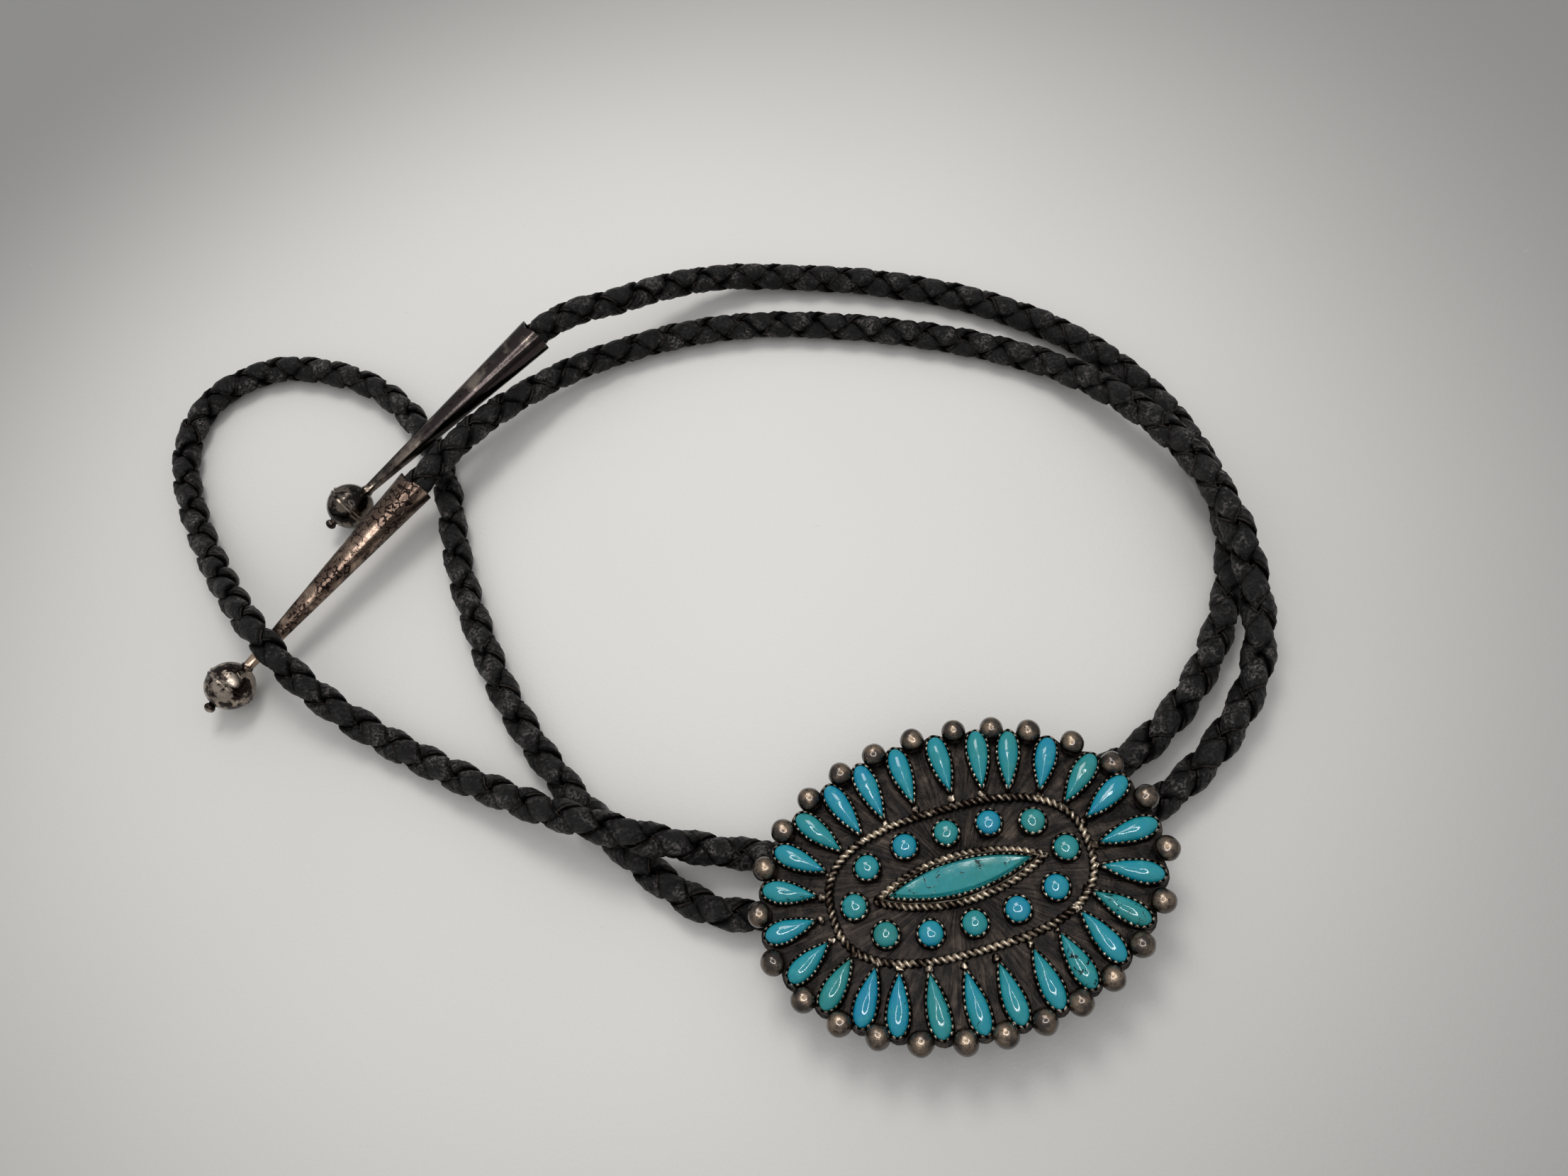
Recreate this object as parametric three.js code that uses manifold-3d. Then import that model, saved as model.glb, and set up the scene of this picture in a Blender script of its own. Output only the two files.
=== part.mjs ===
// A bolo tie: an oval silver slide set with turquoise, on one braided leather cord
// whose two ends carry long silver tips. Millimetres, +Z up. The origin is under the
// middle of the slide, on the surface that the whole thing lies on. +X runs along the
// slide's long axis.

import * as THREE from "three";
import { mergeVertices } from "three/addons/utils/BufferGeometryUtils.js";
import Module from "manifold-3d";

const wasm = await Module();
wasm.setup();

// Clearances between pieces
const GAP = 0.3;
const STONE_GAP = 0.15;

// The braided cord
const CORD_DIA = 5.2;
const CORD_SIDES = 8;
const CORD_STEPS = 110;

// The clip under the slide, which the cord runs through twice
const CLIP_LENGTH = 22;
const CLIP_FLOOR = 0.7;
const CLIP_WALL = 0.8;
const CHANNEL_PITCH = 7.0;
const CHANNEL_SIDE_GAP = 0.6;
const CLIP_OFFSET = 5;

// The slide's base plate and the oval on which its balls and pear stones stand
const PLATE_THICKNESS = 1.0;
const RING_HALF_LENGTH = 28.2;
const RING_HALF_WIDTH = 20.8;
const PLATE_EDGE_AT_PEAR = 0.35;
const PLATE_EDGE_AT_BALL = -0.7;
const PLATE_POINTS_PER_PEAR = 4;

// Pear stones in serrated cups, with a small grain at each point
const PEAR_LENGTH = 8.0;
const PEAR_WIDTH = 2.8;
const PEAR_INSET = 0.45;
const PEAR_BELLY = 0.36;
const PEAR_SIDES = 12;
const GRAIN_DIA = 1.1;
const GRAIN_SIDES = 5;
const GRAIN_ROWS = 3;
const GRAIN_RISE = 0.25;

// Silver balls round the edge
const BALL_DIA = 3.5;
const BALL_SIDES = 10;
const BALL_ROWS = 5;
const BALL_RISE = 0.9;

// Cups: thin walls bent round every stone
const BEZEL_WALL = 0.3;
const BEZEL_HEIGHT = 1.3;
const DOME_HEIGHT = 1.0;
const STONE_SHOULDERS = [0.5, 1.05];

// Round stones on an inner oval
const ROUND_COUNT = 12;
const ROUND_DIA = 3.3;
const ROUND_SIDES = 10;
const ROUND_HALF_LENGTH = 15.0;
const ROUND_HALF_WIDTH = 6.4;

// The long stone in the middle
const LONG_LENGTH = 20.0;
const LONG_WIDTH = 4.3;
const LONG_SIDES = 20;
const LONG_DOME = 0.8;
const LONG_BEVEL = 0.72;
const LONG_BEVEL_RISE = 0.8;
const LONG_CROWN = 0.35;

// Twisted wires laid on the plate
const WIRE_DIA = 1.1;
const WIRE_SIDES = 6;
const RING_WIRE_STEPS = 48;
const RING_WIRE_HALF_LENGTH = 18.2;
const RING_WIRE_HALF_WIDTH = 9.9;
const INNER_OVAL_POWER = 2.6;

// The tips
const TIP_LENGTH = 45.3;
const TIP_MOUTH_DIA = 6.5;
const TIP_NECK_DIA = 1.7;
const TIP_SOCKET = 2.8;
const TIP_BALL_DIA = 8.0;
const TIP_SEAM = 0.4;
const TIP_SEAM_WIDTH = 0.9;
const TIP_BALL_ROWS = 9;
const TIP_SIDES = 14;

// The grain at a tip's end: its foot on the ball, then its profile, all as shares of
// its own radius
const TIP_GRAIN_DIA = 1.9;
const TIP_GRAIN_FOOT = 0.8;
const TIP_GRAIN_PROFILE = [
  { radius: 1.0, rise: 0.6 },
  { radius: 0.7, rise: 1.3 },
  { radius: 0.0, rise: 1.6 },
];

// How the maker set each pear, from the +X end and anticlockwise: its drift along the
// row as a share of the pitch, its lean in degrees, and its length as a share of
// PEAR_LENGTH.
const PEARS = [
  { drift: 0.0, lean: 4, length: 1.03 },
  { drift: 0.26, lean: 2, length: 0.99 },
  { drift: 0.17, lean: -1, length: 1.0 },
  { drift: 0.3, lean: 4, length: 0.96 },
  { drift: 0.28, lean: 3, length: 1.05 },
  { drift: 0.07, lean: 2, length: 1.04 },
  { drift: 0.1, lean: 3, length: 1.05 },
  { drift: 0.13, lean: -2, length: 1.05 },
  { drift: 0.09, lean: -5, length: 1.06 },
  { drift: 0.01, lean: -4, length: 1.05 },
  { drift: 0.02, lean: 0, length: 1.0 },
  { drift: 0.0, lean: 1, length: 0.96 },
  { drift: 0.0, lean: -1, length: 0.93 },
  { drift: 0.14, lean: 0, length: 0.87 },
  { drift: 0.3, lean: 2, length: 0.89 },
  { drift: 0.29, lean: 1, length: 0.94 },
  { drift: 0.2, lean: 2, length: 0.98 },
  { drift: 0.05, lean: 5, length: 0.99 },
  { drift: 0.08, lean: 9, length: 1.04 },
  { drift: -0.01, lean: 5, length: 1.03 },
  { drift: -0.16, lean: 1, length: 1.02 },
  { drift: -0.25, lean: -4, length: 1.01 },
  { drift: -0.39, lean: -6, length: 0.98 },
  { drift: -0.48, lean: -7, length: 1.0 },
  { drift: -0.41, lean: 1, length: 1.01 },
  { drift: -0.26, lean: 2, length: 1.01 },
];

// Where each tip lies: the middle of its mouth, and the point that its axis heads for
const TIPS = [
  { name: "tip_over", mouth: [-43.3, 113.0, 12.4], towards: [-83.0, 93.6, 4.5] },
  { name: "tip_under", mouth: [-69.6, 90.8, 8.3], towards: [-106.3, 63.8, 4.5] },
];

// The cord's route, from the tip that lies over the loop to the one that lies under it
const ROUTE = [
  [-44.55, 112.4, 12.15],
  [-41.3, 113.9, 12.75],
  [-36.2, 115.1, 12.9],
  [-27.6, 116.7, 11.0],
  [-20.1, 119.8, 8.0],
  [-10.3, 121.3, 5.2],
  [-1.1, 120.1, 3.3],
  [18.6, 111.4, 2.7],
  [36.8, 98.7, 2.7],
  [50.4, 82.8, 2.7],
  [57.7, 63.4, 2.7],
  [57.6, 43.5, 2.7],
  [48.0, 25.4, 2.75],
  [32.1, 12.6, 3.1],
  [14.0, 8.9, 3.6],
  [-14.0, 8.9, 3.6],
  [-30.5, 13.6, 3.7],
  [-46.3, 20.3, 8.5],
  [-64.8, 33.4, 4.4],
  [-81.7, 47.9, 3.1],
  [-91.1, 57.7, 6.9],
  [-97.6, 67.9, 9.95],
  [-109.2, 90.3, 4.4],
  [-114.7, 108.5, 2.75],
  [-115.0, 119.0, 2.7],
  [-111.2, 127.7, 2.7],
  [-103.4, 131.7, 2.7],
  [-94.0, 131.4, 2.7],
  [-76.6, 119.4, 2.7],
  [-67.1, 99.1, 2.75],
  [-65.2, 72.0, 2.75],
  [-59.3, 45.0, 2.7],
  [-46.9, 20.4, 2.7],
  [-33.8, 5.8, 2.9],
  [-14.0, 1.8, 3.6],
  [14.0, 1.8, 3.6],
  [33.5, 5.0, 3.2],
  [50.4, 18.0, 4.8],
  [55.9, 36.0, 8.6],
  [55.3, 53.0, 8.6],
  [50.4, 68.0, 6.6],
  [40.9, 83.3, 3.2],
  [18.0, 99.5, 2.75],
  [-10.0, 110.7, 2.85],
  [-36.5, 111.0, 3.6],
  [-56.0, 101.0, 8.0],
  [-66.5, 93.1, 8.6],
  [-71.7, 89.3, 8.09],
];

// Heights that follow from the sizes above
const channelHeight = GAP + CORD_DIA;
const plateBottom = CLIP_FLOOR + channelHeight + GAP;
const plateTop = plateBottom + PLATE_THICKNESS;
const bezelTop = plateTop + BEZEL_HEIGHT;
const pearPitch = 1 / PEARS.length;

const silver = new THREE.MeshStandardMaterial({ color: 0x6e6459, metalness: 0.9, roughness: 0.4 });
const leather = new THREE.MeshStandardMaterial({ color: 0x1c1b1b, metalness: 0.0, roughness: 0.6 });
const turquoise = new THREE.MeshStandardMaterial({ color: 0x2fa0ae, metalness: 0.0, roughness: 0.3 });

// A closed curve between an ellipse (power 2) and a rounded rectangle
class Oval extends THREE.Curve {
  constructor(halfLength, halfWidth, power = 2) {
    super();
    this.halfLength = halfLength;
    this.halfWidth = halfWidth;
    this.power = power;
    this.arcLengthDivisions = 1200;
  }

  getPoint(t, target = new THREE.Vector3()) {
    const angle = 2 * Math.PI * t;
    const bend = (value) => Math.sign(value) * Math.abs(value) ** (2 / this.power);
    const x = this.halfLength * bend(Math.cos(angle));
    const y = this.halfWidth * bend(Math.sin(angle));
    return target.set(x, y, 0);
  }

  // The direction square to the curve, as an angle, at a share of its length
  outwardAt(share) {
    const { x, y } = this.getPointAt(((share % 1) + 1) % 1);
    const slope = (value, half) => Math.sign(value) * Math.abs(value / half) ** (this.power - 1) / half;
    return Math.atan2(slope(y, this.halfWidth), slope(x, this.halfLength));
  }

  // The point at a share of the curve's length, moved outwards
  pointAt(share, outwards = 0) {
    const point = this.getPointAt(((share % 1) + 1) % 1);
    const angle = this.outwardAt(share);
    return point.add(new THREE.Vector3(Math.cos(angle), Math.sin(angle), 0).multiplyScalar(outwards));
  }
}

const edgeOval = new Oval(RING_HALF_LENGTH, RING_HALF_WIDTH);
const roundOval = new Oval(ROUND_HALF_LENGTH, ROUND_HALF_WIDTH, INNER_OVAL_POWER);
const wireOval = new Oval(RING_WIRE_HALF_LENGTH, RING_WIRE_HALF_WIDTH, INNER_OVAL_POWER);

// A closed skin over rings of points that lie one above the other
function loft(rings) {
  const sides = rings[0].length;
  const corners = rings.flat().flatMap((point) => point.toArray());
  const first = rings[0].reduce((sum, point) => sum.add(point), new THREE.Vector3());
  const last = rings.at(-1).reduce((sum, point) => sum.add(point), new THREE.Vector3());
  const bottom = rings.length * sides;
  corners.push(...first.divideScalar(sides).toArray(), ...last.divideScalar(sides).toArray());
  const faces = [];
  for (let side = 0; side < sides; side += 1) {
    const next = (side + 1) % sides;
    const top = (rings.length - 1) * sides;
    faces.push(bottom, next, side);
    faces.push(bottom + 1, top + side, top + next);
    for (let ring = 0; ring < top; ring += sides) {
      faces.push(ring + side, ring + next, ring + sides + next);
      faces.push(ring + side, ring + sides + next, ring + sides + side);
    }
  }
  const geometry = new THREE.BufferGeometry();
  geometry.setAttribute("position", new THREE.Float32BufferAttribute(corners, 3));
  geometry.setIndex(faces);
  geometry.computeVertexNormals();
  return geometry;
}

// A copy of a flat outline at a height, drawn in about a centre
function ringAt(outline, height, scale = 1, centre = new THREE.Vector3()) {
  return outline.map((point) => {
    const moved = point.clone().sub(centre).multiplyScalar(scale).add(centre);
    return moved.setZ(height);
  });
}

function prism(outline, bottom, top) {
  return loft([ringAt(outline, bottom), ringAt(outline, top)]);
}

// A flat-backed stone: a straight wall up to its cup's lip, then a dome
function domedStone(outline, centre, domeHeight, shoulders) {
  const rings = [ringAt(outline, plateTop + STONE_GAP), ringAt(outline, bezelTop)];
  for (const shoulder of shoulders) {
    const rise = domeHeight * Math.sin(shoulder);
    rings.push(ringAt(outline, bezelTop + rise, Math.cos(shoulder), centre));
  }
  return loft(rings);
}

// A wire laid flat along a closed line
function closedWire(line, sides) {
  const corners = [];
  const faces = [];
  line.forEach((point, step) => {
    const before = line[(step + line.length - 1) % line.length];
    const after = line[(step + 1) % line.length];
    const along = after.clone().sub(before).normalize();
    const across = new THREE.Vector3(along.y, -along.x, 0);
    for (let side = 0; side < sides; side += 1) {
      const angle = (2 * Math.PI * side) / sides;
      const out = across.clone().multiplyScalar((WIRE_DIA / 2) * Math.cos(angle));
      const corner = point.clone().add(out);
      corners.push(corner.x, corner.y, point.z + (WIRE_DIA / 2) * Math.sin(angle));
      const here = step * sides;
      const there = ((step + 1) % line.length) * sides;
      const next = (side + 1) % sides;
      faces.push(here + side, there + side, there + next);
      faces.push(here + side, there + next, here + next);
    }
  });
  const geometry = new THREE.BufferGeometry();
  geometry.setAttribute("position", new THREE.Float32BufferAttribute(corners, 3));
  geometry.setIndex(faces);
  return geometry;
}

// Joining and cutting of closed meshes
function solid(geometry) {
  const bare = geometry.clone();
  bare.deleteAttribute("normal");
  bare.deleteAttribute("uv");
  const merged = mergeVertices(bare);
  const vertProperties = new Float32Array(merged.attributes.position.array);
  const triVerts = new Uint32Array(merged.index.array);
  return new wasm.Manifold(new wasm.Mesh({ numProp: 3, vertProperties, triVerts }));
}

function joined(geometries) {
  return geometries.map(solid).reduce((whole, piece) => whole.add(piece));
}

function geometryOf(body) {
  const { vertProperties, triVerts } = body.getMesh();
  const geometry = new THREE.BufferGeometry();
  geometry.setAttribute("position", new THREE.Float32BufferAttribute(vertProperties, 3));
  geometry.setIndex(Array.from(triVerts));
  geometry.computeVertexNormals();
  return geometry;
}

// Pear stones: a drop's outline, round outside and pointed towards the middle
function pearOutline(pear, margin) {
  const widest = 0.7698;
  const drop = (angle) => {
    const x = (-pear.length * PEAR_LENGTH * (1 + Math.cos(angle))) / 2;
    const y = ((PEAR_WIDTH / 2) * Math.sin(angle) * Math.sin(angle / 2)) / widest;
    return new THREE.Vector3(x, y, 0);
  };
  const outline = [];
  for (let side = 0; side < PEAR_SIDES; side += 1) {
    const angle = (2 * Math.PI * side) / PEAR_SIDES;
    const nudge = 0.02;
    const along = drop(angle + nudge).sub(drop(angle - nudge)).setZ(0).normalize();
    const outward = side === 0 ? new THREE.Vector3(-1, 0, 0) : new THREE.Vector3(-along.y, along.x, 0);
    outline.push(drop(angle).add(outward.multiplyScalar(margin)));
  }
  return outline.reverse();
}

function placePear(point, index) {
  const share = (index + PEARS[index].drift) * pearPitch;
  const heading = edgeOval.outwardAt(share) + THREE.MathUtils.degToRad(PEARS[index].lean);
  const outerEnd = edgeOval.pointAt(share, -PEAR_INSET);
  return point.clone().applyAxisAngle(new THREE.Vector3(0, 0, 1), heading).add(outerEnd);
}

function pearPlaced(index, margin) {
  return pearOutline(PEARS[index], margin).map((point) => placePear(point, index));
}

function pearStone(index) {
  const centre = placePear(new THREE.Vector3(-PEAR_BELLY * PEARS[index].length * PEAR_LENGTH, 0, 0), index);
  return domedStone(pearPlaced(index, 0), centre, DOME_HEIGHT, STONE_SHOULDERS);
}

// Round stones, evenly spaced on the inner oval
function roundPlaced(index, margin) {
  const centre = roundOval.pointAt(index / ROUND_COUNT);
  const outline = [];
  for (let side = 0; side < ROUND_SIDES; side += 1) {
    const angle = (2 * Math.PI * side) / ROUND_SIDES;
    const reach = ROUND_DIA / 2 + margin;
    outline.push(new THREE.Vector3(reach * Math.cos(angle), reach * Math.sin(angle), 0).add(centre));
  }
  return outline;
}

function roundStone(index) {
  const centre = roundOval.pointAt(index / ROUND_COUNT);
  return domedStone(roundPlaced(index, 0), centre, DOME_HEIGHT, STONE_SHOULDERS);
}

// The long stone: two shallow arcs that meet in points
function longOutline(margin, sides = LONG_SIDES) {
  const halfLength = LONG_LENGTH / 2 + 2 * margin;
  const halfWidth = LONG_WIDTH / 2 + margin;
  const radius = (halfLength ** 2 + halfWidth ** 2) / (2 * halfWidth);
  const reach = Math.asin(halfLength / radius);
  const outline = [];
  for (let side = 0; side < sides; side += 1) {
    const half = sides / 2;
    const angle = reach * (1 - (2 * (side % half)) / half);
    const flip = side < half ? 1 : -1;
    const x = flip * radius * Math.sin(angle);
    const y = flip * (radius * Math.cos(angle) - radius + halfWidth);
    outline.push(new THREE.Vector3(x, y, 0));
  }
  return outline;
}

function longStone() {
  const outline = longOutline(0);
  const rings = [
    ringAt(outline, plateTop + STONE_GAP),
    ringAt(outline, bezelTop),
    ringAt(outline, bezelTop + LONG_BEVEL_RISE * LONG_DOME, LONG_BEVEL),
    ringAt(outline, bezelTop + LONG_DOME, LONG_CROWN * LONG_BEVEL),
  ];
  return loft(rings);
}

// The base plate: its edge swells round each pear and draws in behind each ball
function plate() {
  const outline = [];
  for (let index = 0; index < PEARS.length; index += 1) {
    const here = index + PEARS[index].drift;
    const next = index + 1 + PEARS[(index + 1) % PEARS.length].drift;
    for (let part = 0; part < PLATE_POINTS_PER_PEAR; part += 1) {
      const step = part / PLATE_POINTS_PER_PEAR;
      const swell = (1 + Math.cos(2 * Math.PI * step)) / 2;
      const edge = THREE.MathUtils.lerp(PLATE_EDGE_AT_BALL, PLATE_EDGE_AT_PEAR, swell);
      outline.push(edgeOval.pointAt(THREE.MathUtils.lerp(here, next, step) * pearPitch, edge));
    }
  }
  return prism(outline, plateBottom, plateTop);
}

// A ball stands in the gap between each pear and the next
function ball(index) {
  const here = index + PEARS[index].drift;
  const next = index + 1 + PEARS[(index + 1) % PEARS.length].drift;
  const place = edgeOval.pointAt(((here + next) / 2) * pearPitch);
  const sphere = new THREE.SphereGeometry(BALL_DIA / 2, BALL_SIDES, BALL_ROWS);
  sphere.rotateX(Math.PI / 2);
  return sphere.translate(place.x, place.y, plateTop + BALL_RISE);
}

function grain(index) {
  const tip = new THREE.Vector3(-PEARS[index].length * PEAR_LENGTH, 0, 0);
  tip.x -= STONE_GAP + BEZEL_WALL + GRAIN_DIA / 4;
  const place = placePear(tip, index);
  const sphere = new THREE.SphereGeometry(GRAIN_DIA / 2, GRAIN_SIDES, GRAIN_ROWS);
  sphere.rotateX(Math.PI / 2);
  return sphere.translate(place.x, place.y, plateTop + GRAIN_RISE);
}

function ringWire() {
  const line = [];
  for (let step = 0; step < RING_WIRE_STEPS; step += 1) {
    line.push(wireOval.pointAt(step / RING_WIRE_STEPS).setZ(plateTop + WIRE_DIA / 4));
  }
  return closedWire(line, WIRE_SIDES);
}

function longWire() {
  const margin = STONE_GAP + BEZEL_WALL + WIRE_DIA / 2;
  const line = longOutline(margin).map((point) => point.setZ(plateTop + WIRE_DIA / 4));
  return closedWire(line, WIRE_SIDES);
}

// The slide: everything soldered to the plate, with a seat cut for each stone
function slide() {
  const cupMargin = STONE_GAP + BEZEL_WALL;
  const seatTop = bezelTop + DOME_HEIGHT + BALL_DIA;
  const metal = [plate(), ringWire(), longWire()];
  const seats = [];
  const cup = (outline) => metal.push(prism(outline, plateBottom + PLATE_THICKNESS / 2, bezelTop));
  const seat = (outline) => seats.push(prism(outline, plateTop, seatTop));
  for (let index = 0; index < PEARS.length; index += 1) {
    cup(pearPlaced(index, cupMargin));
    seat(pearPlaced(index, STONE_GAP));
    metal.push(ball(index), grain(index));
  }
  for (let index = 0; index < ROUND_COUNT; index += 1) {
    cup(roundPlaced(index, cupMargin));
    seat(roundPlaced(index, STONE_GAP));
  }
  cup(longOutline(cupMargin));
  seat(longOutline(STONE_GAP));
  return geometryOf(joined(metal).subtract(joined(seats)));
}

// The clip: a floor with two side walls and a middle one, open towards the plate
function clip() {
  const channelWidth = CORD_DIA + 2 * CHANNEL_SIDE_GAP;
  const halfWidth = CHANNEL_PITCH / 2 + channelWidth / 2 + CLIP_WALL;
  const top = CLIP_FLOOR + channelHeight;
  const shape = new THREE.Shape();
  shape.moveTo(-halfWidth, 0);
  shape.lineTo(halfWidth, 0);
  shape.lineTo(halfWidth, top);
  for (const channel of [CHANNEL_PITCH / 2, -CHANNEL_PITCH / 2]) {
    shape.lineTo(channel + channelWidth / 2, top);
    shape.lineTo(channel + channelWidth / 2, CLIP_FLOOR);
    shape.lineTo(channel - channelWidth / 2, CLIP_FLOOR);
    shape.lineTo(channel - channelWidth / 2, top);
  }
  shape.lineTo(-halfWidth, top);
  const geometry = new THREE.ExtrudeGeometry(shape, { depth: CLIP_LENGTH, bevelEnabled: false });
  geometry.rotateX(Math.PI / 2);
  geometry.rotateZ(Math.PI / 2);
  return geometry.translate(-CLIP_LENGTH / 2, CLIP_OFFSET, 0);
}

// The cord: one tube, laid on the surface and humped where it passes over itself
function cord() {
  const section = new THREE.Shape();
  for (let side = 0; side < CORD_SIDES; side += 1) {
    const angle = (2 * Math.PI * side) / CORD_SIDES;
    const corner = [(CORD_DIA / 2) * Math.cos(angle), (CORD_DIA / 2) * Math.sin(angle)];
    if (side === 0) section.moveTo(...corner);
    else section.lineTo(...corner);
  }
  const path = new THREE.CatmullRomCurve3(ROUTE.map((point) => new THREE.Vector3(...point)));
  return new THREE.ExtrudeGeometry(section, { steps: CORD_STEPS, extrudePath: path });
}

// A tip: a long cone with a socket for the cord, then a ball with a seam and a grain
function tip() {
  const neck = TIP_NECK_DIA / 2;
  const ballRadius = TIP_BALL_DIA / 2;
  const socket = CORD_DIA / 2 + GAP;
  const profile = [
    [0, TIP_SOCKET],
    [socket, TIP_SOCKET],
    [socket, 0],
    [TIP_MOUTH_DIA / 2, 0],
  ];
  const neckAt = TIP_LENGTH - Math.sqrt(ballRadius ** 2 - neck ** 2);
  profile.push([(TIP_MOUTH_DIA + TIP_NECK_DIA) / 4, neckAt / 2]);
  const start = Math.asin(neck / ballRadius);
  const grainRadius = TIP_GRAIN_DIA / 2;
  const stop = Math.PI - Math.asin((TIP_GRAIN_FOOT * grainRadius) / ballRadius);
  for (let row = 0; row <= TIP_BALL_ROWS; row += 1) {
    const angle = THREE.MathUtils.lerp(start, stop, row / TIP_BALL_ROWS);
    const along = -ballRadius * Math.cos(angle);
    const seam = Math.abs(along) < TIP_SEAM_WIDTH ? TIP_SEAM : 0;
    profile.push([(ballRadius + seam) * Math.sin(angle), TIP_LENGTH + along]);
  }
  const ballEnd = TIP_LENGTH - ballRadius * Math.cos(stop);
  for (const { radius, rise } of TIP_GRAIN_PROFILE) {
    profile.push([radius * grainRadius, ballEnd + rise * grainRadius]);
  }
  return new THREE.LatheGeometry(profile.map((point) => new THREE.Vector2(...point)), TIP_SIDES);
}

const bolo = new THREE.Group();

function addMesh(name, geometry, material) {
  const mesh = new THREE.Mesh(geometry, material);
  mesh.name = name;
  bolo.add(mesh);
  return mesh;
}

const numbered = (name, index) => `${name}_${String(index + 1).padStart(2, "0")}`;

addMesh("silver_slide", slide(), silver);
addMesh("cord_clip", clip(), silver);
addMesh("braided_cord", cord(), leather);
addMesh("long_stone", longStone(), turquoise);
for (let index = 0; index < PEARS.length; index += 1) {
  addMesh(numbered("pear_stone", index), pearStone(index), turquoise);
}
for (let index = 0; index < ROUND_COUNT; index += 1) {
  addMesh(numbered("round_stone", index), roundStone(index), turquoise);
}
for (const { name, mouth, towards } of TIPS) {
  const mesh = addMesh(name, tip(), silver);
  const axis = new THREE.Vector3(...towards).sub(new THREE.Vector3(...mouth)).normalize();
  mesh.position.set(...mouth);
  mesh.quaternion.setFromUnitVectors(new THREE.Vector3(0, 1, 0), axis);
}

export default bolo;
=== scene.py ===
import math

import bpy
import numpy as np
from mathutils import Matrix, Quaternion, Vector, noise


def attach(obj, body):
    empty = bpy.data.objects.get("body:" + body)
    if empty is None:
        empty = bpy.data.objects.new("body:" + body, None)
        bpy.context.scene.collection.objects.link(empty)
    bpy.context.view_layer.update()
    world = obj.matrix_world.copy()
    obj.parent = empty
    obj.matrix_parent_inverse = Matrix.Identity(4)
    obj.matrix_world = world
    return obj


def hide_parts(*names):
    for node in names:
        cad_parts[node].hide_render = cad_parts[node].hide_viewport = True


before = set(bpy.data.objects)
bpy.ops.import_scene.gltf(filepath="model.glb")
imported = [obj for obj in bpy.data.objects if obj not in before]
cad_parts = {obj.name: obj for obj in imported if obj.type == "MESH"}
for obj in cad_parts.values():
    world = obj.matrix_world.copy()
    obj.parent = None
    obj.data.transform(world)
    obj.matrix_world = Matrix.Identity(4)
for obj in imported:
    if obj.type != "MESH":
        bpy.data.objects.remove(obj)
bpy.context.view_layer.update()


# The camera stands in front of the tie and looks steeply down on it, turned a little
# so that the slide's long axis climbs to the right.
CAMERA_PLACE = Vector((-0.01059, -0.03889, 0.1705))
CAMERA_AIM = Vector((-0.01271, 0.0556, 0.0))
CAMERA_ROLL = -17.0
CAMERA_LENS = 27.016

camera_data = bpy.data.cameras.new("camera")
camera_data.sensor_width = 36
camera_data.lens = CAMERA_LENS
camera_data.clip_start = 0.01
camera = bpy.data.objects.new("camera", camera_data)
bpy.context.scene.collection.objects.link(camera)
camera.location = CAMERA_PLACE
camera.rotation_mode = "QUATERNION"
level = (CAMERA_AIM - CAMERA_PLACE).to_track_quat("-Z", "Y")
camera.rotation_quaternion = level @ Quaternion((0, 0, 1), math.radians(CAMERA_ROLL))
bpy.context.scene.camera = camera


# The table is a pale matt sheet, nearly white and a little warm, with a very fine
# tooth and a few faint grey scuffs. A painted pool of light darkens it away from a
# bright spot behind the slide, and more so far out. It isn't part of the object.
TABLE_SIZE = 3.0
TABLE_WHITE = (233, 230, 226)
# The painted pool of light: its painted shade near and far, the bright spot, and where the shade
# sets in
TABLE_PAINTED_DIM = (168, 167, 164)
TABLE_PAINTED_FALLOFF = (139, 138, 136)
TABLE_SCUFF = (196, 193, 188)
TABLE_PAINTED_LIGHT_SPOT = (-0.037, 0.071, 0.0)
TABLE_PAINTED_DIM_BETWEEN = (0.012, 0.30)
TABLE_PAINTED_FALLOFF_BETWEEN = (0.075, 0.216)


def tone(colour):
    """A screen colour, 0 to 255, as the linear colour that a shader takes."""
    return tuple((part / 255) ** 2.2 for part in colour) + (1.0,)


class Wire:
    """A node's output. Python arithmetic on it adds Math nodes."""

    def __init__(self, finish, socket):
        self.finish = finish
        self.socket = socket

    def math(self, operation, *values):
        return self.finish.add("ShaderNodeMath", {"operation": operation}, values)

    def __add__(self, other):
        return self.math("ADD", self, other)

    def __radd__(self, other):
        return self.math("ADD", other, self)

    def __sub__(self, other):
        return self.math("SUBTRACT", self, other)

    def __rsub__(self, other):
        return self.math("SUBTRACT", other, self)

    def __mul__(self, other):
        return self.math("MULTIPLY", self, other)

    def __pow__(self, other):
        return self.math("POWER", self, other)

    def __abs__(self):
        return self.math("ABSOLUTE", self)

    def clear(self, low, high):
        """0 below low, 1 above high, and a smooth change between them."""
        settings = {"interpolation_type": "SMOOTHSTEP"}
        return self.finish.add("ShaderNodeMapRange", settings, {0: self, 1: low, 2: high})


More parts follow.
